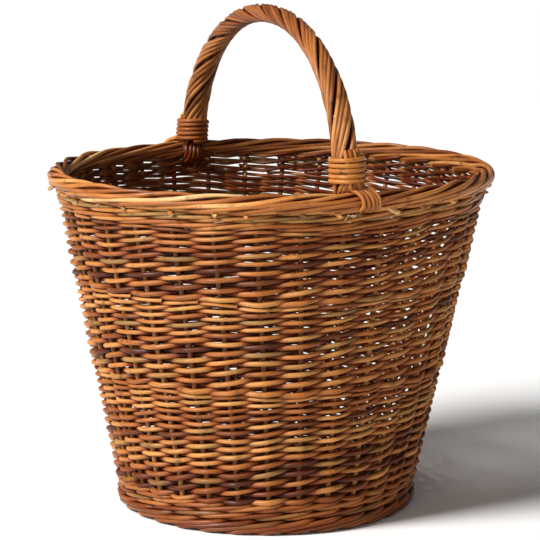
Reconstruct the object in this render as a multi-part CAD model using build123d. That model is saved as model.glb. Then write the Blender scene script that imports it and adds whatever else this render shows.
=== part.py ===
from build123d import *
import math
import os

# Round willow market basket, stake and strand work, with one fixed roped bow handle.
# Origin: centre of the foot, on the ground. +Z is up. The bow handle stands in the Y-Z plane.
# Angles run round the basket from its front, -Y, towards +X. Millimetres throughout.

# Driving dimensions
FOOT_R = 148.5          # outside of the wall at the ground
WALL_FLARE = 0.2148     # growth of the wall's radius for each unit of height
WALL_T = 15.0           # rod outside, stake in the middle, rod inside
UPSETT_TOP = 42.0       # the heavy waling that turns the stakes up
LOWER_TOP = 146.0       # tops of the three bands of siding
MIDDLE_TOP = 240.0
UPPER_TOP = 314.0
WALE_TOP = 326.4        # top of the waling that locks the siding
FOUR_ROD_TOP = 14.0     # top of the first, four-rod round of the upsett
FOOT_EDGE = 6.0         # rounding where the wall meets the ground

BORDER_R = 219.0        # middle of the rolled border, from the basket's axis
BORDER_Z = 337.5        # its height
BORDER_D = 22.0         # its thickness

STAKES = 32
STAKE_D = 5.5
STAKE_STEP = 360 / STAKES
STAKE_START = -3.0      # first stake, in degrees from the handle's plane
STAKE_TOP = 338.0       # the stakes end inside the border
STAKE_TAIL_R = 112.0    # how far each stake's butt reaches in beside a base stick
STAKE_BEND = 11.0       # middle radius of the bend at the foot

BASE_Z = 10.0           # mid-height of the base sticks
BASE_T = 14.0           # thickness of the woven base
BASE_R = 135.4          # outside of the woven base
BASE_HOLE_R = 40.0      # the weaving starts outside the tied cross
STICK_D = 9.0
STICK_END_R = 132.0     # ends of the base sticks
STICK_PITCH = 9.4       # side by side at the cross
STICK_SHAVED_T = 4.6    # thickness of a stick that passes through the slits
SLIT_H = 5.0
CROSS_HALF = 34.0       # half of the straight middle of each stick
STICK_BEND = 45.0
TIE_R = 34.0
TIE_D = 4.0
BUNDLE = 4              # sticks in each of the two crossing bundles

BOW_D = 10.0            # the thick rod inside the handle
BOW_SPAN = 420.0        # between the middles of its legs
BOW_TOP = 500.0         # middle of the bow at the crown
BOW_SPRING = 354.0      # the legs stand straight up to here
BOW_END_Z = 160.0       # the pointed ends are pushed down the wall to here
BOW_KNEE = 60.0
SHOULDER_R = 105.0
ROPE_D = 25.0           # over the rods that rope the bow

WRAPS = 5               # turns of the binding at each foot of the handle
WRAP_D = 4.8
WRAP_FIRST = 5.0        # first turn, above the end of the roping
TAILS = 5               # rods that go from each foot over the border
TAIL_D = 4.4
TAIL_FIRST = 2.4        # degrees from the handle's plane
TAIL_STEP = 1.2
TAIL_DROP = 30.0        # how far each tail goes below the border's middle, in degrees

FIT = 0.25              # clearance round a rod that lies inside other work


def wall_r(z):
    """Outside radius of the wall at height z."""
    return FOOT_R + WALL_FLARE * z


def stake_r(z):
    """Radius at which the stakes stand, in the middle of the wall."""
    return wall_r(z) - WALL_T / 2


def ring(points):
    """Closed ring with this outline of (radius, height) points."""
    face = make_face(Polyline(*[(r, 0, z) for r, z in points], close=True))
    return revolve(face, Axis.Z)


def round_about(solid, angle):
    """The solid, drawn at the right (+X), turned to its angle from the front."""
    return Rot(0, 0, angle - 90) * solid


def rod(path, diameter):
    """Round rod along a path."""
    return sweep(Plane(path @ 0, z_dir=path % 0) * Circle(diameter / 2), path=path)


# Stakes

def stake(diameter):
    """Radial butt in the base, tight bend at the foot, then straight up the wall."""
    path = FilletPolyline(
        (STAKE_TAIL_R, 0, BASE_Z),
        (stake_r(BASE_Z), 0, BASE_Z),
        (stake_r(STAKE_TOP), 0, STAKE_TOP),
        radius=STAKE_BEND,
    )
    return rod(path, diameter)


def all_stakes(diameter):
    one = stake(diameter)
    return [round_about(one, STAKE_START + STAKE_STEP * k) for k in range(STAKES)]


# Base

def stick_ends(k):
    """Both ends of a bundle's stick k, in degrees off the bundle's line, each midway between two stakes."""
    spread = 360 / (4 * BUNDLE)
    nearest = STAKE_START + STAKE_STEP / 2
    return nearest + spread * (k - BUNDLE / 2), -nearest - spread * (BUNDLE / 2 - 1 - k)


def base_stick(k, diameter):
    """Stick k of the bundle along X: straight through the cross, then bent out to its two ends."""
    offset = STICK_PITCH * (k - (BUNDLE - 1) / 2)
    right, left = (math.radians(a) for a in stick_ends(k))
    path = FilletPolyline(
        (STICK_END_R * math.cos(right), STICK_END_R * math.sin(right), BASE_Z),
        (CROSS_HALF, offset, BASE_Z),
        (-CROSS_HALF, offset, BASE_Z),
        (-STICK_END_R * math.cos(left), STICK_END_R * math.sin(left), BASE_Z),
        radius=STICK_BEND,
    )
    return rod(path, diameter)


def crosswise_sticks(diameter):
    return [base_stick(k, diameter) for k in range(BUNDLE)]


def lengthwise_sticks(diameter):
    """The second bundle runs from front to back."""
    return [Rot(0, 0, -90) * s for s in crosswise_sticks(diameter)]


def pierced_sticks():
    """Four sticks slit through the middle."""
    slit_w = STICK_PITCH * (BUNDLE - 1) + STICK_D + 2 * FIT
    slit = Pos(0, 0, BASE_Z) * Box(slit_w, STICK_PITCH * (BUNDLE + 1), SLIT_H)
    return [s - slit for s in crosswise_sticks(STICK_D)]


def threaded_sticks():
    """Four sticks shaved flat where they pass through the slits."""
    side = STICK_PITCH * (BUNDLE + 1)
    shaving = Box(side, side, STICK_D - STICK_SHAVED_T)
    both_faces = [Pos(0, 0, BASE_Z + up * STICK_D / 2) * shaving for up in (-1, 1)]
    return [s - both_faces for s in lengthwise_sticks(STICK_D)]


def base_tie():
    """The rounds that tie the cross, one over the sticks and one under them."""
    lift = (STICK_D + TIE_D) / 2 + FIT
    return [Pos(0, 0, BASE_Z + up * lift) * Torus(TIE_R, TIE_D / 2) for up in (-1, 1)]


def base_weave():
    """Flat woven disc with a channel for each stick and each stake butt."""
    low = BASE_Z - BASE_T / 2
    high = BASE_Z + BASE_T / 2
    disc = ring([(BASE_HOLE_R, low), (BASE_R, low), (BASE_R, high), (BASE_HOLE_R, high)])
    grown = STICK_D + 2 * FIT
    channels = crosswise_sticks(grown) + lengthwise_sticks(grown) + all_stakes(STAKE_D + 2 * FIT)
    return disc - channels


# Wall

def wall_band(low, high, cutters):
    """One band of the wall, with a channel for everything that stands in it."""
    band = ring([
        (wall_r(low) - WALL_T, low),
        (wall_r(low), low),
        (wall_r(high), high),
        (wall_r(high) - WALL_T, high),
    ])
    return band - cutters


def upsett_foot(cutters):
    """The four-rod round at the ground, rounded where it meets it, upright inside against the base."""
    inner = BASE_R + FIT
    band = ring([
        (inner, 0),
        (wall_r(0) - FOOT_EDGE, 0),
        (wall_r(FOOT_EDGE), FOOT_EDGE),
        (wall_r(FOUR_ROD_TOP), FOUR_ROD_TOP),
        (inner, FOUR_ROD_TOP),
    ])
    return band - cutters


def upsett_rounds(cutters):
    """The three-rod rounds over it."""
    inner = BASE_R + FIT
    base_top = BASE_Z + BASE_T / 2
    band = ring([
        (inner, FOUR_ROD_TOP),
        (wall_r(FOUR_ROD_TOP), FOUR_ROD_TOP),
        (wall_r(UPSETT_TOP), UPSETT_TOP),
        (wall_r(UPSETT_TOP) - WALL_T, UPSETT_TOP),
        (inner, base_top),
    ])
    return band - cutters


def border(cutters):
    """Rolled border, closed on itself."""
    return Pos(0, 0, BORDER_Z) * Torus(BORDER_R, BORDER_D / 2) - cutters


# Handle

def crown_radius():
    """Radius of the crown that meets both shoulders smoothly."""
    half = BOW_SPAN / 2
    rise = BOW_TOP - BOW_SPRING
    return (half**2 + rise**2 - 2 * half * SHOULDER_R) / (2 * (rise - SHOULDER_R))


def shoulder_turn():
    """Degrees turned by each shoulder."""
    rise = BOW_TOP - BOW_SPRING
    return math.degrees(math.atan2(crown_radius() - rise, BOW_SPAN / 2 - SHOULDER_R))


def arch_path():
    """The bow above the border: shoulder, crown, shoulder."""
    turn = shoulder_turn()
    with BuildLine(Plane.YZ) as line:
        a = JernArc((-BOW_SPAN / 2, BOW_SPRING), (0, 1), SHOULDER_R, -turn)
        b = JernArc(a @ 1, a % 1, crown_radius(), -(180 - 2 * turn))
        JernArc(b @ 1, b % 1, SHOULDER_R, -turn)
    return line.wire()


def leg_path():
    """One leg below the arch, at the front: down the wall's slope, then upright."""
    slope = math.degrees(math.atan(WALL_FLARE))
    knee_z = (BOW_SPAN / 2 - stake_r(0)) / WALL_FLARE
    trim = BOW_KNEE * math.tan(math.radians(slope / 2))
    knee_low = (-BOW_SPAN / 2 + trim * math.sin(math.radians(slope)), knee_z - trim * math.cos(math.radians(slope)))
    with BuildLine(Plane.YZ) as line:
        a = Line((-stake_r(BOW_END_Z), BOW_END_Z), knee_low)
        b = JernArc(a @ 1, a % 1, BOW_KNEE, -slope)
        Line(b @ 1, (-BOW_SPAN / 2, BOW_SPRING))
    return line.wire()


def leg(diameter):
    return rod(leg_path(), diameter)


def both_ends(solid):
    """The solid at the front foot of the handle and its twin at the back foot."""
    return [solid, Rot(0, 0, 180) * solid]


def handle_bow():
    return rod(arch_path(), BOW_D) + both_ends(leg(BOW_D))


def handle_roping():
    """Sleeve of the rods that are wound round the bow, from foot to foot."""
    path = arch_path()
    section = Plane(path @ 0, z_dir=path % 0) * (Circle(ROPE_D / 2) - Circle(BOW_D / 2 + FIT))
    return sweep(section, path=path)


def foot_binding():
    """Turns of rod that bind the front foot of the handle, each square to the leg."""
    wraps = []
    for k in range(WRAPS):
        turn = (WRAP_FIRST + WRAP_D * k) / SHOULDER_R
        y = -BOW_SPAN / 2 + SHOULDER_R * (1 - math.cos(turn))
        z = BOW_SPRING + SHOULDER_R * math.sin(turn)
        wrap = Torus(ROPE_D / 2 + WRAP_D / 2 + FIT, WRAP_D / 2 - FIT / 4)
        wraps.append(Pos(0, y, z) * Rot(-math.degrees(turn), 0, 0) * wrap)
    return wraps


def border_tails():
    """Ends of the roping that go from the front foot over the border to the outside."""
    hoop_r = (BORDER_D + TAIL_D) / 2 + FIT
    start = Pos(hoop_r, 0, 0) * Circle(TAIL_D / 2)
    hoop = revolve(start, Axis((0, 0, 0), (0, -1, 0)), 180 + 2 * TAIL_DROP)
    hoop = Rot(0, TAIL_DROP, 0) * hoop
    one = Pos(BORDER_R, 0, BORDER_Z) * hoop
    return [round_about(one, TAIL_FIRST + TAIL_STEP * k) for k in range(TAILS)]


def save(name, solids):
    """Write one node, which may be a list of like solids."""
    shape = Compound(children=solids) if isinstance(solids, list) else solids
    export_step(shape, f"parts/{name}.step")


def main():
    os.makedirs("parts", exist_ok=True)
    stake_channels = all_stakes(STAKE_D + 2 * FIT)
    bow_channels = both_ends(leg(BOW_D + 2 * FIT))
    channels = stake_channels + bow_channels

    save("base_sticks_pierced", pierced_sticks())
    save("base_sticks_threaded", threaded_sticks())
    save("base_tie", base_tie())
    save("base_weave", base_weave())
    save("side_stakes", all_stakes(STAKE_D))
    save("upsett_four_rod_round", upsett_foot(stake_channels))
    save("upsett_three_rod_rounds", upsett_rounds(stake_channels))
    save("siding_lower", wall_band(UPSETT_TOP, LOWER_TOP, stake_channels))
    save("siding_middle", wall_band(LOWER_TOP, MIDDLE_TOP, channels))
    save("siding_upper", wall_band(MIDDLE_TOP, UPPER_TOP, channels))
    save("top_wale", wall_band(UPPER_TOP, WALE_TOP, channels))
    save("rolled_border", border(channels))
    save("handle_bow", handle_bow())
    save("handle_roping", handle_roping())
    binding = foot_binding()
    save("foot_binding_front", binding)
    save("foot_binding_back", [Rot(0, 0, 180) * w for w in binding])
    tails = border_tails()
    save("border_tails_front", tails)
    save("border_tails_back", [Rot(0, 0, 180) * t for t in tails])


main()
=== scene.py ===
"""Round willow market basket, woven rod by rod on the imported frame.

The wall is laid out in weaving terms: a place is counted in stakes round the basket from its front,
a height, and a depth out from the line of stakes. Angles run from the front (-Y) towards +X.
"""

import math

import bpy
import numpy as np
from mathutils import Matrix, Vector


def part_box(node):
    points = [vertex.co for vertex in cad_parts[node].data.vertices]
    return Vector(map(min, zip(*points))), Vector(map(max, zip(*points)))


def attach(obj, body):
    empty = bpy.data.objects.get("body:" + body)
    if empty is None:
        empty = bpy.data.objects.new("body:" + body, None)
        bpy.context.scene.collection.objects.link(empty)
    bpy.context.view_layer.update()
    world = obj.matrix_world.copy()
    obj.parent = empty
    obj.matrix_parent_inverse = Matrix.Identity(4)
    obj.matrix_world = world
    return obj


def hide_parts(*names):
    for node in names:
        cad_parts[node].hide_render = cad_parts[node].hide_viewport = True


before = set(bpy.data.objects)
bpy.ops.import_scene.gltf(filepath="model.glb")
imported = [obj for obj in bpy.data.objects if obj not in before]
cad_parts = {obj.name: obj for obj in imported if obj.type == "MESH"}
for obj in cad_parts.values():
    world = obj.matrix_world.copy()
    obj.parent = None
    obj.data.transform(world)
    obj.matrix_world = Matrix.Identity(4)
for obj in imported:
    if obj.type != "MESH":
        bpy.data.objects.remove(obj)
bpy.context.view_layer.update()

MM = 0.001
rng = np.random.default_rng(20)


# ---- sizes, from the frame ----

def node_box(name):
    low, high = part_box(name)
    return np.array(low), np.array(high)


_, lower_high = node_box("siding_lower")
middle_low, middle_high = node_box("siding_middle")
upper_low, upper_high = node_box("siding_upper")
wale_low, _ = node_box("top_wale")
border_low, border_high = node_box("rolled_border")
roping_low, roping_high = node_box("handle_roping")
weave_low, weave_high = node_box("base_weave")
sticks_low, sticks_high = node_box("base_sticks_pierced")
first_round_low, first_round_high = node_box("upsett_four_rod_round")

FLARE = (upper_high[0] - lower_high[0]) / (upper_high[2] - lower_high[2])
STAKE_INSET = 4.8 * MM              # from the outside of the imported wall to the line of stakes

BORDER_D = border_high[2] - border_low[2]
BORDER_R = border_high[0] - BORDER_D / 2
BORDER_Z = (border_high[2] + border_low[2]) / 2

BASE_Z = (sticks_low[2] + sticks_high[2]) / 2
STICK_D = sticks_high[2] - sticks_low[2]

STAKES = 32
STAKE_STEP = math.radians(360 / STAKES)
FIRST_STAKE = math.radians(-3.3)    # at the border; the stakes lean as they rise
STAKE_LEAN = math.radians(5.3)      # over the height of the wall
STAKE_D = 5.4 * MM

UPSETT_D = 4.4 * MM
UPSETT_TOP = first_round_high[2] + 17 * MM    # two rounds over the foot round

LEAN_SIDE = np.array([0.928, -0.371, 0.0])    # the basket leans a little to its right
LEAN = 4.6 * MM                               # from its foot to its border


def wall_radius(z):
    return lower_high[0] + FLARE * (z - lower_high[2])


def stake_radius(z):
    return wall_radius(z) - STAKE_INSET


def at(angle, radius, z):
    """Points from cylindrical places."""
    return np.stack([radius * np.sin(angle), -radius * np.cos(angle), z + 0 * angle], axis=-1)


# ---- hand-made unevenness ----

def wander(length, wave, size):
    """A slow drift along a rod: three sines of random phase, the longest of them one wave long."""
    drift = np.zeros_like(length)
    for k in range(3):
        phase = rng.uniform(0, 2 * math.pi)
        drift += np.sin(2 * math.pi * length * (1 + 0.6 * k) / wave + phase) / (1 + k)
    return size * drift / 1.8


PUSH_PHASES = rng.uniform(0, 2 * math.pi, 12)


def settle_height(angle, z):
    """Rows that rise and fall a little together round the basket."""
    grow = np.clip(z / (60 * MM), 0, 1) * np.clip((BORDER_Z - z) / (25 * MM), 0, 1)
    slow = np.sin(2 * angle + PUSH_PHASES[0] + 9 * z) + 0.8 * np.sin(5 * angle + PUSH_PHASES[1] - 14 * z)
    quick = 0.7 * np.sin(9 * angle + PUSH_PHASES[2] + 31 * z)
    quick += 0.6 * np.sin(14 * angle + PUSH_PHASES[3] - 47 * z)
    row_by_row = np.sin(7 * angle + PUSH_PHASES[7] + 135 * z) + np.sin(12 * angle + PUSH_PHASES[8] - 190 * z)
    return MM * grow * (0.9 * (slow + quick) + 0.45 * row_by_row)


def settle_radius(angle, z):
    """Out of round by a hair."""
    slow = np.sin(2 * angle + PUSH_PHASES[4] + 3 * z) + 0.7 * np.sin(3 * angle + PUSH_PHASES[5] - 6 * z)
    quick = 0.6 * np.sin(7 * angle + PUSH_PHASES[6] + 11 * z)
    return 0.8 * MM * (slow + quick)


def lean(points):
    """The whole basket leans a little to one side."""
    share = np.clip(points[:, 2] / BORDER_Z, 0, 1.03) - 0.5
    return points + LEAN * share[:, None] * LEAN_SIDE


def wall_point(stakes_along, z, depth):
    """Points on the wall from a place in stakes, a height and a depth out from the stakes."""
    rise = np.clip(z / BORDER_Z, 0, 1)
    angle = FIRST_STAKE + STAKE_STEP * stakes_along + STAKE_LEAN * (1 - rise)
    radius = stake_radius(z) + depth + settle_radius(angle, z)
    return lean(at(angle, radius, z + settle_height(angle, z)))


# ---- materials ----

def linear(hex_colour):
    """sRGB hex to linear RGBA."""
    out = []
    for i in (1, 3, 5):
        c = int(hex_colour[i:i + 2], 16) / 255
        out.append(c / 12.92 if c <= 0.04045 else ((c + 0.055) / 1.055) ** 2.4)
    return (*out, 1.0)


def add(tree, kind, settings=(), links=()):
    """Adds one node with its settings and links. A key that is a socket's name or number sets it."""
    node = tree.nodes.new(kind)
    for key, value in dict(settings).items():
        if isinstance(key, int) or key in node.inputs:
            node.inputs[key].default_value = value
        else:
            setattr(node, key, value)
    for key, source in dict(links).items():
        tree.links.new(source, node.inputs[key])
    return node


def colour_stops(node, hexes):
    """Spaces the colours evenly over a ramp."""
    ramp = node.color_ramp
    while len(ramp.elements) < len(hexes):
        ramp.elements.new(0.5)
    for k, hex_colour in enumerate(hexes):
        ramp.elements[k].position = k / (len(hexes) - 1)
        ramp.elements[k].color = linear(hex_colour)


PITH = "#D8B98A"        # wood of a cut end
KNOT = "#2E190C"        # bud scars and pores
SHADE_TINT = "#E8986A"       # painted shade: a warm tint multiplied over the rod's own colour where its tone is low, which is mostly painted shade
STREAK = 0.7 * MM       # width of the fine lines in the bark
STREAK_LENGTH = 22 * MM
BLOTCH = 9 * MM         # patches where the rod dried darker
BLOTCH_LENGTH = 55 * MM
PORE = 1.1 * MM         # specks where buds and pores were
PORE_LENGTH = 3.5 * MM


def willow(name, hexes, roughness, depth):
    """Willow rod boiled in its bark, then peeled: buff to russet, fine lengthwise lines, a satin skin.

    Each rod takes its own colour from the stops. Lines and blotches run along the rod, knots are
    dark rings, and a cut end shows pale wood.
    """
    material = bpy.data.materials.new(name)
    material.use_nodes = True
    tree = material.node_tree
    tree.nodes.clear()
    grain = add(tree, "ShaderNodeAttribute", {"attribute_name": "grain"}).outputs["Vector"]
    tint = add(tree, "ShaderNodeAttribute", {"attribute_name": "tint"}).outputs["Fac"]
    tone = add(tree, "ShaderNodeAttribute", {"attribute_name": "tone"}).outputs["Fac"]
    knot = add(tree, "ShaderNodeAttribute", {"attribute_name": "knot"}).outputs["Fac"]
    cut = add(tree, "ShaderNodeAttribute", {"attribute_name": "cut"}).outputs["Fac"]

    fine = add(tree, "ShaderNodeVectorMath",
               {"operation": "MULTIPLY", 1: (1 / STREAK, 1 / STREAK, 1 / STREAK_LENGTH)}, {0: grain})
    streaks = add(tree, "ShaderNodeTexNoise", {"Scale": 1.0, "Detail": 3.0, "Roughness": 0.6},
                  {"Vector": fine.outputs[0]})
    broad = add(tree, "ShaderNodeVectorMath",
                {"operation": "MULTIPLY", 1: (1 / BLOTCH, 1 / BLOTCH, 1 / BLOTCH_LENGTH)}, {0: grain})
    blotches = add(tree, "ShaderNodeTexNoise", {"Scale": 1.0, "Detail": 2.0, "Roughness": 0.5},
                   {"Vector": broad.outputs[0]})
    close = add(tree, "ShaderNodeVectorMath",
                {"operation": "MULTIPLY", 1: (1 / PORE, 1 / PORE, 1 / PORE_LENGTH)}, {0: grain})
    pores = add(tree, "ShaderNodeTexNoise", {"Scale": 1.0, "Detail": 1.0, "Roughness": 0.4},
                {"Vector": close.outputs[0]})

    # the rod's own colour, shifted a little from patch to patch
    shift = add(tree, "ShaderNodeMapRange",
                {"From Min": 0.3, "From Max": 0.7, "To Min": -0.16, "To Max": 0.16},
                {"Value": blotches.outputs["Fac"]})
    place = add(tree, "ShaderNodeMath", {"operation": "ADD", "use_clamp": True},
                {0: tint, 1: shift.outputs[0]})
    body = add(tree, "ShaderNodeValToRGB", links={"Fac": place.outputs[0]})
    colour_stops(body, hexes)

    # lines in the bark, and painted shade where the tone is low: darker, and tinted warm
    lines = add(tree, "ShaderNodeMapRange",
                {"From Min": 0.32, "From Max": 0.68, "To Min": 0.72, "To Max": 1.18},
                {"Value": streaks.outputs["Fac"]})
    value = add(tree, "ShaderNodeMath", {"operation": "MULTIPLY"}, {0: lines.outputs[0], 1: tone})
    shade_tint_share = add(tree, "ShaderNodeMapRange",
                 {"From Min": 0.35, "From Max": 1.0, "To Min": 1.0, "To Max": 0.0}, {"Value": tone})
    shade_tinted = add(tree, "ShaderNodeMix",
                  {"data_type": "RGBA", "blend_type": "MULTIPLY", 7: linear(SHADE_TINT)},
                  {0: shade_tint_share.outputs[0], 6: body.outputs["Color"]})
    lined = add(tree, "ShaderNodeHueSaturation", {"Saturation": 1.0},
                {"Value": value.outputs[0], "Color": shade_tinted.outputs[2]})

    # knots and pores, then the pale wood of the cut ends
    specks = add(tree, "ShaderNodeMapRange",
                 {"From Min": 0.66, "From Max": 0.74, "To Min": 0.0, "To Max": 0.6},
                 {"Value": pores.outputs["Fac"]})
    marks = add(tree, "ShaderNodeMath", {"operation": "MAXIMUM"}, {0: knot, 1: specks.outputs[0]})
    marked = add(tree, "ShaderNodeMix", {"data_type": "RGBA", 7: linear(KNOT)},
                 {0: marks.outputs[0], 6: lined.outputs["Color"]})
    colour = add(tree, "ShaderNodeMix", {"data_type": "RGBA", 7: linear(PITH)},
                 {0: cut, 6: marked.outputs[2]})

    gloss = add(tree, "ShaderNodeMapRange",
                {"From Min": 0.3, "From Max": 0.7, "To Min": roughness - 0.09, "To Max": roughness + 0.14},
                {"Value": blotches.outputs["Fac"]})
    bump = add(tree, "ShaderNodeBump", {"Strength": 0.55, "Distance": depth},
               {"Height": streaks.outputs["Fac"]})
    shader = add(tree, "ShaderNodeBsdfPrincipled",
                 {"IOR": 1.5, "Specular IOR Level": 0.24},
                 {"Base Color": colour.outputs[2], "Roughness": gloss.outputs[0],
                  "Normal": bump.outputs["Normal"]})
    add(tree, "ShaderNodeOutputMaterial", links={"Surface": shader.outputs["BSDF"]})
    return material


# one-year rods, boiled and left unsorted: chestnut, buff and a little olive side by side, satin
SIDING_WILLOW = willow(
    "boiled_willow_siding",
    ("#5C2E16", "#7D431B", "#9A5826", "#B06D32", "#C68748", "#AE7C40", "#8A6538"), 0.38, 0.35 * MM)
# stout rods rubbed by the weaving: an even, dull brown
STAKE_WILLOW = willow(
    "boiled_willow_stakes", ("#6A3D1F", "#855129", "#9C6838", "#AA7A48"), 0.46, 0.35 * MM)
# the stakes' own ends, worn by goods and hands: the palest rods, with the most contrast
BORDER_WILLOW = willow(
    "boiled_willow_border", ("#6E3A1A", "#955527", "#B36E34", "#CD8A48", "#E8B87E"), 0.36, 0.4 * MM)
# rods polished by the hand: a warm sheen over red-brown to honey
HANDLE_WILLOW = willow(
    "boiled_willow_roping", ("#57311A", "#874F27", "#AE7038", "#C6894A", "#D6A468"), 0.36, 0.4 * MM)
# one picked clean rod: an even orange-buff
BINDING_WILLOW = willow(
    "boiled_willow_binding", ("#A05C2A", "#B87434", "#C98A48"), 0.36, 0.3 * MM)
# older, thicker wood out of the light: dark and matt
BASE_WILLOW = willow(
    "boiled_willow_base", ("#4D2C18", "#6E4222", "#88552C", "#9C6838"), 0.5, 0.4 * MM)


# ---- one rod ----

def carry_frame(points):
    """A direction across the rod at every point, carried along it without twist."""
    along = np.gradient(points, axis=0)
    along /= np.linalg.norm(along, axis=1)[:, None]
    start = np.cross(along[0], (0.13, 0.27, 0.95))
    if np.linalg.norm(start) < 0.2:
        start = np.cross(along[0], (1.0, 0.0, 0.0))
    across = np.empty_like(points)
    across[0] = start / np.linalg.norm(start)
    for i in range(1, len(points)):
        side = across[i - 1] - along[i] * np.dot(across[i - 1], along[i])
        across[i] = side / np.linalg.norm(side)
    return along, across, np.cross(along, across)


def smooth(control, spacing):
    """Evenly spaced points on a soft curve through control points."""
    control = np.asarray(control, float)
    steps = np.linalg.norm(np.diff(control, axis=0), axis=1)
    reach = np.concatenate([[0], np.cumsum(np.sqrt(steps))])
    slope = np.gradient(control, reach, axis=0)
    count = max(int(steps.sum() / spacing), 4)
    t = np.linspace(0, reach[-1], count)
    k = np.clip(np.searchsorted(reach, t, side="right") - 1, 0, len(reach) - 2)
    h = (reach[k + 1] - reach[k])[:, None]
    f = (t[:, None] - reach[k][:, None]) / h
    return ((2 * f**3 - 3 * f**2 + 1) * control[k] + (f**3 - 2 * f**2 + f) * h * slope[k]
            + (3 * f**2 - 2 * f**3) * control[k + 1] + (f**3 - f**2) * h * slope[k + 1])


KNOT_SPACING = 95 * MM
KNOT_LENGTH = 2.6 * MM
OVAL = 0.95                 # a rod is this much thinner one way than the other


def rod(name, node, material, points, start_d, end_d, tint,
        sides=8, slant=0.5, tone=1.0, shade=1.0, girth=1.0, grooves=None):
    """One willow rod along points: tapered, a little oval, with knots and slanted pale cut ends.

    Shade darkens it along its length, mostly as painted shade, and grooves gives the painted shade at each
    place of its skin.
    """
    n = len(points)
    along, across, up = carry_frame(points)
    length = np.concatenate([[0], np.cumsum(np.linalg.norm(np.diff(points, axis=0), axis=1))])
    radius = 0.5 * girth * (start_d + (end_d - start_d) * length / length[-1])

    knot = np.zeros(n)
    place = rng.uniform(0.2, 1.0) * KNOT_SPACING
    while place < length[-1] - 10 * MM:
        swelling = np.exp(-((length - place) / KNOT_LENGTH) ** 2)
        knot = np.maximum(knot, swelling * rng.uniform(0.3, 1.0))
        place += rng.uniform(0.5, 1.6) * KNOT_SPACING
    radius = radius * (1 + 0.10 * knot + 0.025 * np.sin(length / (11 * MM) + rng.uniform(0, 6)))

    turn = np.linspace(0, 2 * math.pi, sides, endpoint=False) + rng.uniform(0, 1)
    cosine = np.cos(turn)[None, :, None]
    sine = OVAL * np.sin(turn)[None, :, None]
    out = cosine * across[:, None, :] + sine * up[:, None, :]
    skin = points[:, None, :] + radius[:, None, None] * out

    offset = rng.uniform(-1, 1, 3)
    grain = np.stack([radius[:, None] * np.cos(turn), radius[:, None] * np.sin(turn),
                      np.repeat(length[:, None], sides, 1)], axis=-1) + offset
    for end, way in ((0, -1), (n - 1, 1)):
        skin[end] += way * slant * radius[end] * np.cos(turn)[:, None] * along[end]

    corners = [skin.reshape(-1, 3)]
    grains = [grain.reshape(-1, 3)]
    ring = np.arange(sides)
    after = (ring + 1) % sides
    row = np.arange(n - 1)[:, None] * sides
    strips = np.stack([row + ring, row + after, row + sides + after, row + sides + ring], axis=-1)
    faces = strips.reshape(-1, 4).tolist()
    bark_faces = len(faces)
    first = n * sides
    for end, way in ((0, -1), (n - 1, 1)):
        centre = skin[end].mean(0) + way * 0.12 * radius[end] * along[end]
        corners.append(np.vstack([skin[end], centre]))
        grains.append(np.vstack([grain[end], grain[end].mean(0)]))
        for a, b in zip(ring, after) if way > 0 else zip(after, ring):
            faces.append([first + a, first + b, first + sides])
        first += sides + 1

    mesh = bpy.data.meshes.new(name)
    mesh.from_pydata(np.vstack(corners).tolist(), [], faces)
    mesh.polygons.foreach_set("use_smooth", np.arange(len(faces)) < bark_faces)
    total = len(mesh.vertices)
    body = n * sides
    skin_tone = tone * np.repeat((shade * np.ones(n))[:, None], sides, axis=1)
    if grooves:
        skin_tone = skin_tone * grooves(skin)
    values = {
        "tint": np.full(total, tint),
        "tone": np.concatenate([skin_tone.ravel(), np.full(total - body, tone)]),
        "knot": np.concatenate([np.repeat(0.75 * knot, sides), np.zeros(total - body)]),
        "cut": np.concatenate([np.zeros(body), np.ones(total - body)]),
    }
    for key, data in values.items():
        mesh.attributes.new(key, "FLOAT", "POINT").data.foreach_set("value", data.astype(np.float32))
    vectors = np.vstack(grains).astype(np.float32).ravel()
    mesh.attributes.new("grain", "FLOAT_VECTOR", "POINT").data.foreach_set("vector", vectors)
    mesh.materials.append(material)
    piece = bpy.data.objects.new(name, mesh)
    bpy.context.collection.objects.link(piece)
    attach(piece, "root")
    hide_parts(node)
    return piece


def soft_step(place, low):
    """From low to 1, softly, as place goes from 0 to 1."""
    t = np.clip(place, 0, 1)
    return low + (1 - low) * t * t * (3 - 2 * t)


def painted_recess_shade(outness):
    """Painted shade: the parts of a rod that pass behind a stake or behind the rods in front are painted
    darker than the parts that stand out, where the weave shades them.
    """
    return soft_step(0.5 + 0.9 * outness, 0.34)


def painted_groove_shade(proud):
    """Painted shade, darker deep between rods that lie side by side. Proud is 0 deep between them and 1 on
    top.
    """
    return soft_step(proud, 0.36)


def painted_foot_shade(z):
    """Painted shade: the wall is painted darker towards its foot, as the light falls off there."""
    return soft_step(z / (110 * MM), 0.68)


def own_look():
    """Each rod's place in its colour stops, and its lightness."""
    tint = float(np.clip(rng.normal(0.52, 0.24), 0, 1))
    tone = float(np.clip(rng.normal(1.0, 0.10), 0.72, 1.25))
    return tint, tone


# ---- the wall ----

ROD_SPACING = 4.5 * MM      # between the points of a rod


def stake_rods():
    """Upright rods, bent out of the base at the foot."""
    count = 30
    foot = stake_radius(BASE_Z)
    zs = np.linspace(24 * MM, BORDER_Z - 6 * MM, count)
    for k in range(STAKES):
        upright = wall_point(np.full(count, float(k)), zs, wander(zs, 160 * MM, 0.5 * MM))
        angle = FIRST_STAKE + STAKE_STEP * k + STAKE_LEAN
        tail_r = np.array([foot - 28 * MM, foot - 16 * MM, foot - 7 * MM, foot - 0.5 * MM])
        tail_z = BASE_Z + np.array([0, 0, 0.6 * MM, 4.5 * MM])
        tail = lean(at(np.full(4, angle), tail_r, tail_z))
        tint, tone = own_look()
        rod(f"stake_{k + 1:02d}", "side_stakes", STAKE_WILLOW,
            smooth(np.vstack([tail, upright]), ROD_SPACING), STAKE_D * 1.06, STAKE_D * 0.96,
            tint, tone=tone)


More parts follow.
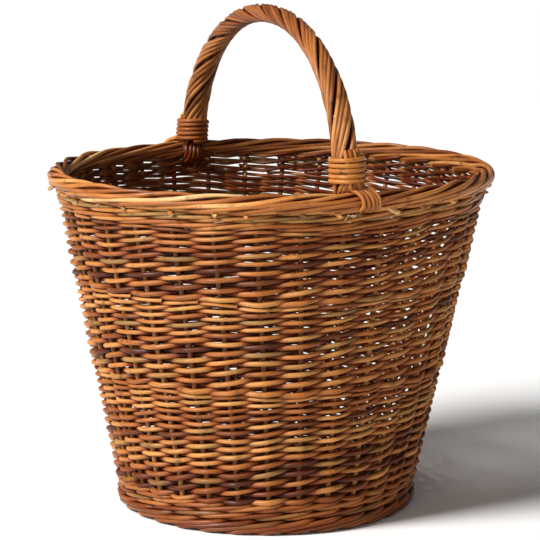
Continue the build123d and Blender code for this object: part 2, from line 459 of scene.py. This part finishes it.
def row_heights(low, high, first_d, last_d):
    """Middles of the rows of a band: thick butts far apart at the bottom, thin tips close at the top."""
    reach = high - low - 0.5 * first_d - 0.6 * last_d
    gaps = int(round(reach / (first_d + last_d)))
    pitch = np.linspace(first_d, last_d, gaps)
    pitch *= reach / pitch.sum()
    return low + 0.5 * first_d + np.concatenate([[0], np.cumsum(pitch)])


def bend(s):
    """How far out a stroke lies: +1 in front of a stake, -1 behind the next, nearly straight between."""
    straight = 1 - 2 * np.abs(np.mod(s + 1, 2) - 1)
    return 0.5 * np.cos(math.pi * s) + 0.5 * straight


PACKED = 1.08       # thickness of a siding rod against half the distance of its rows
TUCKED = 1.3        # stakes that most rods go on past their first and last, to end inside
SHOWN = 0.4         # the same for the few that end outside
SHOWN_SHARE = 0.2


def siding_band(name, node, low, high, first_d, last_d):
    """French randing: one rod to a stake, each in front of one stake and behind the next, rising as it goes.

    In front of a stake the rods lie a whole row apart, and behind it they lie halfway between.
    """
    heights = row_heights(low, high, first_d, last_d)
    rows = len(heights)
    top = 2 * (rows - 1)        # stakes from the first row to the last
    for k in range(STAKES):
        first = -SHOWN if rng.random() < SHOWN_SHARE else -TUCKED
        last = top + (SHOWN if rng.random() < SHOWN_SHARE else TUCKED)
        count = int((last - first) * STAKE_STEP * stake_radius(high) / ROD_SPACING)
        s = np.linspace(first, last, count)
        z = np.interp(s / 2, np.arange(rows), heights)
        z = np.where(s < 0, z + 0.3 * (heights[1] - heights[0]) * s / 2, z)
        z = np.where(s > top, z + 0.25 * last_d * (s - top), z)
        z += wander(s, 9.0, 0.35 * MM)
        half = 0.5 * (first_d + (last_d - first_d) * (s - first) / (last - first))
        swing = (0.5 * STAKE_D + half) * (1 + wander(s, 7.0, 0.06))
        outness = bend(s)
        points = wall_point(k + s, z, swing * outness)
        thick = PACKED * rng.uniform(0.9, 1.1)
        tint, tone = own_look()
        # shade is painted shade: darker where the rod passes behind, and darker towards the foot
        rod(f"{name}_{k + 1:02d}", node, SIDING_WILLOW, points,
            first_d * thick, last_d * thick, tint, tone=tone, shade=painted_recess_shade(outness) * painted_foot_shade(z))


WALE_SEAM = 14.0    # stakes from the front to the joint of each round, at the back


def waling(name, node, low, rounds, rods, d, swell=0.0):
    """Rounds of waling: each rod goes in front of all but one of its turn of stakes, then behind that one.

    Each stroke starts low, under the others, and climbs over them before it goes in. Swell is how far
    the round stands out from the wall.
    """
    front = rods - 1
    climb = front * d * 0.94
    overlap = 0.15
    count = int(STAKES * STAKE_STEP * stake_radius(low) / ROD_SPACING)
    for level in range(rounds):
        middle = low + 0.5 * climb + 0.25 * d + level * climb
        for k in range(rods):
            s = np.linspace(k - overlap, STAKES + k + overlap, count)
            turn = np.mod(s - k, rods)
            inside = np.minimum(turn, rods - turn)
            outness = -np.cos(math.pi * np.clip(inside, 0, 1))
            rise = (turn - 0.5 - front / 2) / front
            rise = np.where(turn < 0.5, -turn, rise)
            rise = np.where(turn > rods - 0.5, rods - turn, rise)
            z = middle + (climb - 0.3 * d) * rise + wander(s, 8.0, 0.3 * MM)
            depth = 0.5 * (STAKE_D + d) * outness + swell
            points = wall_point(s + WALE_SEAM, np.maximum(z, 0.5 * d), depth)
            tint, tone = own_look()
            # shade is painted shade: darker where the rod passes behind, and darker towards the foot
            rod(f"{name}_{level + 1}_{k + 1}", node, SIDING_WILLOW, points,
                d * 1.03, d * 0.94, tint, tone=tone, shade=painted_recess_shade(outness) * painted_foot_shade(z))


def wall():
    stake_rods()
    waling("foot_wale", "upsett_four_rod_round", first_round_low[2], 1, 4, 4.9 * MM, 2.5 * MM)
    waling("upsett_wale", "upsett_three_rod_rounds", first_round_high[2], 2, 3, UPSETT_D)
    siding_band("low_siding", "siding_lower", UPSETT_TOP, lower_high[2], 5.2 * MM, 3.4 * MM)
    siding_band("middle_siding", "siding_middle", middle_low[2], middle_high[2], 5.3 * MM, 3.4 * MM)
    siding_band("high_siding", "siding_upper", upper_low[2], upper_high[2], 5.2 * MM, 3.4 * MM)
    waling("top_wale", "top_wale", wale_low[2] - 1 * MM, 3, 3, 4.1 * MM)


# ---- the border ----

ROLL_D = 19.5 * MM          # thickness of the finished border
ROLL_Z = BORDER_Z + 2.2 * MM
STRAND_D = 5.4 * MM
STRAND_REACH = 7.6          # stakes that each end travels round the border
STRAND_START = -95          # degrees round the border's middle from straight out, so under it
STRAND_TURN = 365
STRAND_SWAY = 17            # degrees that it runs ahead and behind, so that its slope isn't even
STRAND_END = (0.5, 4.0, 6.0)    # how far out from the border's middle the cut ends come, mm
GROOVE_SHADE_DEPTH = 2.6 * MM           # depth over which the painted shade between strands goes to full colour
CORE_D = 4.8 * MM
CORE_RODS = 4
CORE_WOUND = 11             # stakes in one turn of the core rods round each other


def border_rods():
    """The stakes' ends, each laid along the border: up its outside, over the top and down the inside.

    The cut end comes out under the border, on the outside. Inside the stake below, the rod is thinner.
    """
    ring_r = 0.5 * (ROLL_D - STRAND_D)

    # painted shade in each groove between the border's strands
    def grooves(skin):
        straight = skin - 0.5 * LEAN * LEAN_SIDE
        out = np.hypot(straight[..., 0], straight[..., 1]) - BORDER_R
        deep = np.hypot(out, straight[..., 2] - ROLL_Z)
        return painted_groove_shade((deep - ring_r) / GROOVE_SHADE_DEPTH + 0.5)

    q = np.linspace(0.0, 1.0, 64)
    for k in range(STAKES):
        twist = np.radians(STRAND_START + STRAND_TURN * q + STRAND_SWAY * np.sin(4 * math.pi * (q - 0.5)))
        along = 0.35 + (STRAND_REACH + rng.uniform(-0.25, 0.15)) * q
        wide = ring_r * (1 + wander(q, 0.5, 0.08))
        angle = FIRST_STAKE + STAKE_STEP * (k + along)
        out = BORDER_R + wide * np.cos(twist) + settle_radius(angle, BORDER_Z)
        z = ROLL_Z + wide * np.sin(twist) + wander(q, 0.6, 0.6 * MM)
        thick = rng.uniform(0.84, 1.04)
        body = lean(at(angle, out, z))
        root_z = BORDER_Z - np.array([30, 22, 14, 8]) * MM
        root = wall_point(k + np.array([0.0, 0.0, 0.0, 0.07]), root_z, np.zeros(4))
        end_angle = angle[-1] + STAKE_STEP * np.array([0.09, 0.13 + rng.uniform(0, 0.06)])
        out_by = rng.choice(STRAND_END) + rng.uniform(0, 1.5)
        end_r = BORDER_R + np.array([0.4 * out_by, out_by]) * MM
        end_z = ROLL_Z - 0.5 * ROLL_D + np.array([0.0, -1.5 + rng.uniform(-1.2, 0.8)]) * MM
        end = lean(at(end_angle, end_r, end_z))
        points = smooth(np.vstack([root, body[::3], end]), 3.5 * MM)
        from_root = np.linspace(0, 1, len(points))
        tint, tone = own_look()
        rod(f"border_{k + 1:02d}", "rolled_border", BORDER_WILLOW, points,
            STRAND_D * thick, STRAND_D * 0.88 * thick, tint, sides=10, slant=0.9, tone=tone,
            girth=np.clip(0.84 + 2.0 * from_root, 0, 1), grooves=grooves)


def border_core():
    """Thin tips that lie inside the border and fill it."""
    for k in range(CORE_RODS):
        for half in range(2):
            first = half * STAKES / 2
            s = np.linspace(first - 1.0, first + STAKES / 2 + 1.0, 130)
            turn = 2 * math.pi * (k / CORE_RODS + s / CORE_WOUND)
            angle = FIRST_STAKE + STAKE_STEP * (s + 4 * k)
            out = BORDER_R + 3.2 * MM * np.cos(turn)
            z = ROLL_Z + 3.0 * MM * np.sin(turn)
            tint, tone = own_look()
            # painted shade: the core is painted half as light, so it shows dark in the gaps between the
            # border's strands
            rod(f"border_core_{k + 1}_{half + 1}", "rolled_border", BORDER_WILLOW,
                lean(at(angle, out, z)), CORE_D, CORE_D * 0.9, tint, tone=0.5 * tone)


# ---- the handle ----

ROPE_D = roping_high[0] - roping_low[0]
FOOT_Z = roping_low[2] - 9 * MM     # where the arch ends and each leg starts into the border
HALF_SPAN = 0.5 * (roping_high[1] - roping_low[1]) - 0.5 * ROPE_D
RISE = roping_high[2] - 10 * MM - FOOT_Z
ROUNDNESS = 2.07                    # 2 is an ellipse, and more is squarer at the shoulders
FOOT_SIDE = -8.6 * MM               # the feet stand a little to the left of the middle
CROWN_SIDE = -2.2 * MM
BOW_D = 12 * MM
BOW_TIP_D = 11 * MM

LEG_DROP = 21 * MM                  # the legs go down inside the border
LEG_INWARD = 5.5 * MM               # round its inner side
LEG_UNDER = 6.0 * MM                # and out into the wall under it


def bow_line():
    """Middle line of the bow from its back foot over the crown to its front foot."""
    t = np.linspace(0, math.pi, 240)
    power = 2 / ROUNDNESS
    y = HALF_SPAN * np.sign(np.cos(t)) * np.abs(np.cos(t)) ** power
    z = FOOT_Z + RISE * np.abs(np.sin(t)) ** power
    share = np.linspace(1, 0, 16, endpoint=False)
    inward = LEG_INWARD * np.sin(math.pi * np.clip(share / 0.8, 0, 1))
    inward -= LEG_UNDER * np.clip((share - 0.45) / 0.55, 0, 1) ** 2
    leg_y = HALF_SPAN - inward
    leg_z = FOOT_Z - LEG_DROP * share
    y = np.concatenate([leg_y, y, -leg_y[::-1]])
    z = np.concatenate([leg_z, z, leg_z[::-1]])
    x = FOOT_SIDE + (CROWN_SIDE - FOOT_SIDE) * np.clip((z - FOOT_Z) / RISE, 0, 1)
    return smooth(np.stack([x, y, z], axis=-1), 3.5 * MM)


def handle_core():
    """The thick rod inside, painted dark (tone 0.4) as painted shade between the roping rods."""
    rod("bow", "handle_bow", HANDLE_WILLOW, lean(bow_line()), BOW_D, BOW_TIP_D,
        0.3, sides=12, tone=0.4)


ROPING_GROUPS = 3
ROPING_IN_GROUP = 4
ROPING_SPACING = 26.5       # degrees between neighbours, so a wider groove is left between groups
ROPING_D = 4.75 * MM
LAY_FOOT = 182 * MM         # length of one turn at the feet
LAY_CROWN = 152 * MM        # and at the crown
BACK_LEG_R = 11.3 * MM      # from the bow's middle to the roping rods' middles
FRONT_LEG_R = 10.3 * MM
CROWN_R = 7.4 * MM


def handle_roping():
    """Rods wound round the bow in three groups, tight at the crown and spread at the feet."""
    line = bow_line()
    step = np.linalg.norm(np.diff(line, axis=0), axis=1)
    length = np.concatenate([[0], np.cumsum(step)])
    along = np.gradient(line, axis=0)
    along /= np.linalg.norm(along, axis=1)[:, None]
    side = np.tile([1.0, 0.0, 0.0], (len(line), 1))
    outward = np.cross(along, side)
    height = np.clip((line[:, 2] - FOOT_Z) / RISE, 0, 1)

    lay = LAY_FOOT + (LAY_CROWN - LAY_FOOT) * height**2
    turned = np.concatenate([[0], np.cumsum(2 * math.pi * step / (0.5 * (lay[1:] + lay[:-1])))])
    turned -= turned[len(turned) // 2]

    free = np.clip((line[:, 2] - FOOT_Z + 2 * MM) / (12 * MM), 0, 1)    # 0 where the border squeezes it
    flat = 0.42 + 0.58 * free
    wide = 0.82 + 0.18 * free
    near_crown = height ** 2.2
    leg_r = np.where(line[:, 1] > 0, BACK_LEG_R, FRONT_LEG_R)
    rope_r = leg_r + (CROWN_R - leg_r) * near_crown
    girth = (1.08 - 0.16 * near_crown) * (0.86 + 0.14 * free)
    held = 1 - 0.32 * near_crown        # darker where hands have held it
    middle = lean(line)[:, None, :]

    # painted shade in each groove between the roping rods
    def grooves(skin):
        proud = np.linalg.norm(skin - middle, axis=2) - rope_r[:, None]
        return painted_groove_shade((proud + 0.9 * MM) / (2.3 * MM))

    for number in range(ROPING_GROUPS * ROPING_IN_GROUP):
        group, member = divmod(number, ROPING_IN_GROUP)
        place = 360 / ROPING_GROUPS * group + ROPING_SPACING * (member - (ROPING_IN_GROUP - 1) / 2)
        start = math.radians(place) + rng.normal(0, 0.03)
        angle = start + turned + wander(length, 260 * MM, 0.07)
        r = rope_r * (1 + wander(length, 150 * MM, 0.03))
        points = line + (r * flat * np.cos(angle))[:, None] * outward
        points -= (r * wide * np.sin(angle))[:, None] * side
        size = ROPING_D + rng.uniform(-0.3, 0.3) * MM
        tint, tone = own_look()
        rod(f"roping_{number + 1:02d}", "handle_roping", HANDLE_WILLOW, lean(points),
            size, size * rng.uniform(0.86, 0.98), tint, sides=10, tone=tone, girth=girth, shade=held,
            grooves=grooves)


def foot_place(back, x, out, z):
    """Points beside a foot of the handle, to its right and outward as seen from outside the basket."""
    turn = -1.0 if back else 1.0
    return np.stack([FOOT_SIDE + turn * x, -turn * (HALF_SPAN + out), z], axis=-1)


def on_leg(back, bearing, reach, z):
    """Points round the leg, which curves inward and sideways as it rises. Bearing 0 is straight outward."""
    share = np.clip((z - FOOT_Z) / RISE, 0, 1)
    inward = HALF_SPAN * (1 - (1 - share**ROUNDNESS) ** (1 / ROUNDNESS))
    points = foot_place(back, reach * np.sin(bearing), reach * np.cos(bearing) - inward, z)
    points[:, 0] += (CROWN_SIDE - FOOT_SIDE) * share
    return points


BACK_DROP = 8.0 * MM        # the back foot is bound lower, down to the border
TAIL_D = 4.3 * MM
TAILS = 5
WRAP_D = 4.7 * MM
WRAPS = 5


def tail_bearing(i):
    """Where tail i lies on the leg."""
    return math.radians(-8 + 17.5 * i)


def wrap_radius(bearing):
    """The binding passes over the tails on one side and hugs the roping on the other."""
    middle = tail_bearing((TAILS - 1) / 2)
    off = np.abs(np.mod(bearing - middle + math.pi, 2 * math.pi) - math.pi)
    past_tails = np.clip((off - math.radians(38)) / math.radians(40), 0, 1)
    cover = 0.5 * (1 + np.cos(past_tails * math.pi))
    return 0.5 * (ROPE_D + WRAP_D) - 0.3 * MM + 0.6 * TAIL_D * cover


def foot_binding(back):
    """One rod wound five times round the foot and the tops of the tails."""
    name = "back" if back else "front"
    low = roping_low[2] + 4.5 * MM - (BACK_DROP if back else 0.0)
    turns = np.linspace(-0.12, WRAPS - 0.05, 260)
    bearing = 2 * math.pi * turns - math.radians(150)
    z = low + WRAP_D * 1.02 * turns + wander(turns, 2.0, 0.4 * MM)
    points = on_leg(back, bearing, wrap_radius(bearing), z)
    own_look()      # not used: both bindings are picked rods; the back one is painted darker as painted shade
    tint, tone = (0.45, 0.72) if back else (0.5, 1.05)
    rod(f"binding_{name}", f"foot_binding_{name}", BINDING_WILLOW, lean(points),
        WRAP_D, WRAP_D * 0.94, tint, sides=10, tone=tone)


TAIL_CLEAR = 0.8 * MM                                       # between the tails and the border
TAIL_TWIST = np.radians([14, 10, 3, 0])                     # round the leg, from the cut top down
TAIL_SECTION = np.radians([74, 54, 32, 10, -12, -32])       # places round the border, 90 is its top
TAIL_ASIDE = np.array([3.0, 6.8, 10.0, 11.6, 11.8, 11.6]) * MM
TAIL_FAN = 0.25 * MM


def border_tails(back):
    """Five rods held under the binding: cut above it, and led down over the border to the outside."""
    name = "back" if back else "front"
    drop = BACK_DROP if back else 0.0
    reach = 0.5 * (ROPE_D + TAIL_D) + 0.2 * MM
    over = 0.5 * (ROLL_D + TAIL_D) + TAIL_CLEAR
    out = BORDER_R - HALF_SPAN + over * np.cos(TAIL_SECTION)
    out[-1] -= 4 * MM       # the end is pushed in under the border
    foot = roping_low[2]
    for i in range(TAILS):
        bearing = tail_bearing(i)
        top = foot + WRAP_D * WRAPS + (10.5 + rng.uniform(-1, 1)) * MM - drop
        z = np.array([top, top - 8 * MM, foot + 14 * MM - 0.5 * drop, foot + 2 * MM])
        held = on_leg(back, bearing - TAIL_TWIST, reach, z)
        aside = reach * math.sin(bearing) + TAIL_ASIDE + TAIL_FAN * i
        hoop = foot_place(back, aside, out, ROLL_Z + over * np.sin(TAIL_SECTION))
        points = smooth(np.vstack([held, hoop]), 2.5 * MM)
        tint, tone = own_look()
        rod(f"tail_{name}_{i + 1}", f"border_tails_{name}", BORDER_WILLOW, lean(points),
            TAIL_D, TAIL_D * 1.06, tint, sides=10, slant=0.8, tone=tone * 1.05)


def handle():
    handle_core()
    handle_roping()
    for back in (False, True):
        foot_binding(back)
        border_tails(back)


# ---- the base ----

SPOKES = 16
SPOKE_STEP = 2 * math.pi / SPOKES
FIRST_SPOKE = FIRST_STAKE + STAKE_LEAN + 0.5 * STAKE_STEP
BUNDLES = (("base_sticks_threaded", "threaded"), ("base_sticks_pierced", "pierced"))
STICKS = 4                  # in each bundle
STICK_PITCH = 9.4 * MM
CROSS_HALF = 34 * MM        # half of the straight middle of each stick
BASE_R = 0.5 * (weave_high[0] - weave_low[0])


def base_sticks():
    """Four slit sticks crosswise and four threaded through them, opened out like spokes."""
    for bundle, (node, title) in enumerate(BUNDLES):
        lead = 0.5 * math.pi * bundle
        cosine = math.cos(lead)
        sine = math.sin(lead)
        for k in range(STICKS):
            spokes = np.array([k - 2, 9 - k])
            first, last = at(FIRST_SPOKE + SPOKE_STEP * spokes + lead, BASE_R - 4 * MM, BASE_Z)
            across = STICK_PITCH * (k - (STICKS - 1) / 2)
            middle = []
            for along in CROSS_HALF * np.array([1, 0.3, -0.3, -1]):
                middle.append((across * cosine + along * sine, across * sine - along * cosine, BASE_Z))
            tint, tone = own_look()
            rod(f"base_stick_{title}_{k + 1}", node, BASE_WILLOW,
                lean(smooth([first, *middle, last], 6 * MM)), STICK_D * 0.98, STICK_D * 0.94,
                tint, sides=12, tone=tone)


TIE_D = 3.6 * MM
TIE_R = 29 * MM
TIE_ROUNDS = 3


def base_tie():
    """Three rounds that bind the cross, over one bundle and under the next."""
    s = np.linspace(0, TIE_ROUNDS, 200)
    angle = 2 * math.pi * s
    steep = 2.5         # how sharply it goes down between the bundles
    up_or_down = np.tanh(steep * np.cos(2 * angle)) / math.tanh(steep)
    z = BASE_Z + 0.5 * (STICK_D + TIE_D) * up_or_down
    rod("base_tie", "base_tie", BASE_WILLOW, lean(at(angle, TIE_R + TIE_D * s, z)),
        TIE_D, 3.4 * MM, 0.6)


WEAVE_D = 3.8 * MM
WEAVE_PITCH = 1.22 * WEAVE_D
WEAVE_START = 41 * MM       # outside the tie
WEAVE_ROD = 1.6             # rounds that one rod goes


def base_weaving():
    """Pairing: two rods that cross between the sticks, one over and one under each."""
    rounds = (BASE_R + 1.5 * MM - WEAVE_START) / WEAVE_PITCH
    for way, title in ((1, "over"), (-1, "under")):
        for p in range(math.ceil(rounds / WEAVE_ROD)):
            first = p * WEAVE_ROD
            last = min(rounds, first + WEAVE_ROD + 0.03)
            reach = (last - first) * 2 * math.pi * (WEAVE_START + WEAVE_PITCH * last)
            s = np.linspace(first, last, int(reach / (5 * MM)) + 8)
            angle = FIRST_SPOKE + 2 * math.pi * s
            wave = math.pi * SPOKES * s
            z = BASE_Z + way * (0.5 * STICK_D + 0.4 * WEAVE_D) * np.cos(wave)
            r = WEAVE_START + WEAVE_PITCH * s + way * 0.42 * WEAVE_D * np.sin(wave)
            r += wander(s, 0.9, 0.3 * MM)
            tint, tone = own_look()
            rod(f"base_weave_{title}_{p + 1:02d}", "base_weave", BASE_WILLOW,
                lean(at(angle, r, z)), WEAVE_D, WEAVE_D * 0.92, tint, sides=7, tone=tone)


def base():
    base_sticks()
    base_tie()
    base_weaving()


# ---- studio ----

CAMERA_BEARING = math.radians(-21.8)    # the handle is seen a little from its left
CAMERA_AWAY = 2.335
CAMERA_HIGH = 0.657
AIM_RIGHT = 0.00175
AIM_HIGH = 0.2388
FLOOR_HALF = 30.0


def from_camera(right, away, high):
    """A place given as seen: to the right, towards the camera, and up."""
    sine = math.sin(CAMERA_BEARING)
    cosine = math.cos(CAMERA_BEARING)
    return Vector((right * cosine + away * sine, right * sine - away * cosine, high))


def camera():
    data = bpy.data.cameras.new("camera")
    data.lens = 153.4
    data.sensor_width = 36.0
    eye = bpy.data.objects.new("camera", data)
    eye.location = from_camera(0.0, CAMERA_AWAY, CAMERA_HIGH)
    look = from_camera(AIM_RIGHT, 0.0, AIM_HIGH) - eye.location
    eye.rotation_euler = look.to_track_quat("-Z", "Y").to_euler()
    bpy.context.collection.objects.link(eye)
    bpy.context.scene.camera = eye


def matt_white_paper():
    """Studio paper: it scatters light evenly and shows no gloss."""
    material = bpy.data.materials.new("matt_white_paper")
    material.use_nodes = True
    tree = material.node_tree
    tree.nodes.clear()
    shader = add(tree, "ShaderNodeBsdfPrincipled", {"Base Color": linear("#F7F6F4"), "Roughness": 0.9})
    add(tree, "ShaderNodeOutputMaterial", links={"Surface": shader.outputs["BSDF"]})
    return material


def floor():
    """Pale studio floor."""
    h = FLOOR_HALF
    mesh = bpy.data.meshes.new("floor")
    mesh.from_pydata([(-h, -h, 0), (h, -h, 0), (h, h, 0), (-h, h, 0)], [], [(0, 1, 2, 3)])
    mesh.materials.append(matt_white_paper())
    ground = bpy.data.objects.new("floor", mesh)
    bpy.context.collection.objects.link(ground)


def sun(name, bearing, rise, spread, strength):
    """A soft lamp so far away that it lights floor and basket evenly.

    Bearing counts from the camera towards its right; rise is the height above level, spread its size.
    """
    data = bpy.data.lights.new(name, "SUN")
    data.angle = math.radians(spread)
    data.energy = strength
    lamp = bpy.data.objects.new(name, data)
    turn = math.radians(bearing)
    level = math.cos(math.radians(rise))
    place = from_camera(math.sin(turn) * level, math.cos(turn) * level, math.sin(math.radians(rise)))
    lamp.rotation_euler = (-place).to_track_quat("-Z", "Y").to_euler()
    bpy.context.collection.objects.link(lamp)


def studio():
    """Key light from the left, a little fill, low light all round and a white background."""
    floor()
    sun("key", bearing=-60, rise=37, spread=20, strength=5.2)
    sun("fill", bearing=-10, rise=20, spread=40, strength=0.25)
    world = bpy.data.worlds.new("studio")
    world.use_nodes = True
    tree = world.node_tree
    tree.nodes.clear()
    white = linear("#FFFFFF")
    around = add(tree, "ShaderNodeBackground", {"Color": white, "Strength": 0.15})
    behind = add(tree, "ShaderNodeBackground", {"Color": white, "Strength": 1.0})
    ray = add(tree, "ShaderNodeLightPath")
    either = add(tree, "ShaderNodeMixShader",
                 links={0: ray.outputs["Is Camera Ray"], 1: around.outputs[0], 2: behind.outputs[0]})
    add(tree, "ShaderNodeOutputWorld", links={"Surface": either.outputs[0]})
    bpy.context.scene.world = world
    bpy.context.scene.view_settings.view_transform = "Standard"


camera()
wall()
border_core()
border_rods()
handle()
base()
studio()
